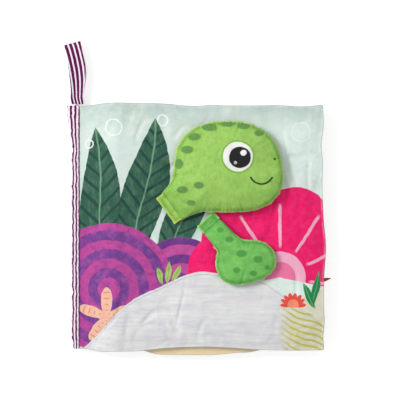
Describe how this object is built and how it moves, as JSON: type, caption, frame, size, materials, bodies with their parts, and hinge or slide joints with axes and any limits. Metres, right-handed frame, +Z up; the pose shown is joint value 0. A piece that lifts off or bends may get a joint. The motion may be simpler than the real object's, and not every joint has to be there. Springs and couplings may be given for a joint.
{
  "type": "baby activity book",
  "caption": "Soft cloth activity book lying closed: stuffed leaves in a striped spine binding, ribbon loop, padded turtle head and flipper sewn to the cover.",
  "frame": {"origin": "middle of the back cover's underside, which the book rests on", "axes": "+X from the spine to the free edge, +Y to the top of the page, +Z up out of the front cover"},
  "size_m": [0.2284, 0.2661, 0.0408],
  "materials": {
    "cover_print_cloth": "matte",
    "lining_cloth": "matte",
    "page_1_cloth": "matte",
    "page_2_cloth": "matte",
    "wadding": "matte",
    "crackle_film": "gloss",
    "striped_tape": "matte",
    "head_cloth": "matte",
    "neck_cloth": "matte",
    "flipper_cloth": "matte",
    "tab_felt": "matte",
    "squeaker_plastic": "satin"
  },
  "bodies": {
    "back_cover": {"back_cover_outer_panel": "cover_print_cloth", "back_cover_wadding": "wadding", "back_cover_lining_panel": "lining_cloth", "back_cover_seam_tab": "cover_print_cloth", "page_2_seam_tab": "page_2_cloth", "page_1_seam_tab": "page_1_cloth", "front_cover_seam_tab": "cover_print_cloth", "spine_binding": "striped_tape", "strap_tail": "striped_tape"},
    "page_2": {"page_2_front_panel": "page_2_cloth", "page_2_crackle_film": "crackle_film", "page_2_wadding": "wadding", "page_2_back_panel": "page_2_cloth"},
    "page_1": {"page_1_front_panel": "page_1_cloth", "page_1_wadding": "wadding", "page_1_back_panel": "page_1_cloth", "page_tab": "tab_felt"},
    "front_cover": {"front_cover_outer_panel": "cover_print_cloth", "front_cover_crackle_film": "crackle_film", "front_cover_wadding": "wadding", "front_cover_lining_panel": "lining_cloth", "neck_seam_tab": "neck_cloth", "flipper_seam_tab": "flipper_cloth"},
    "head": {"head_front_panel": "head_cloth", "head_back_panel": "head_cloth", "head_stuffing": "wadding", "head_squeaker": "squeaker_plastic"},
    "flipper": {"flipper_front_panel": "flipper_cloth", "flipper_back_panel": "flipper_cloth", "flipper_stuffing": "wadding"},
    "strap": {"strap_loop": "striped_tape"}
  },
  "joints": [
    {"name": "page_2_turn", "type": "hinge", "parent": "back_cover", "child": "page_2", "pos_m": [-0.105, 0, 0.0118], "axis": [0, -1, 0], "range_deg": [0, 180]},
    {"name": "page_1_turn", "type": "hinge", "parent": "page_2", "child": "page_1", "pos_m": [-0.105, 0, 0.0118], "axis": [0, -1, 0], "range_deg": [0, 180]},
    {"name": "cover_open", "type": "hinge", "parent": "page_1", "child": "front_cover", "pos_m": [-0.105, 0, 0.0118], "axis": [0, -1, 0], "range_deg": [0, 180]},
    {"name": "head_lift", "type": "hinge", "parent": "front_cover", "child": "head", "pos_m": [-0.02654, 0.01673, 0.0256], "axis": [0.5878, -0.809, 0], "range_deg": [0, 140]},
    {"name": "flipper_lift", "type": "hinge", "parent": "front_cover", "child": "flipper", "pos_m": [0.00731, 0.00291, 0.0256], "axis": [-0.7314, -0.682, 0], "range_deg": [0, 75]},
    {"name": "strap_swing", "type": "hinge", "parent": "back_cover", "child": "strap", "pos_m": [-0.1067, 0.106, 0.007], "axis": [1, 0, 0], "range_deg": [0, 80]}
  ]
}
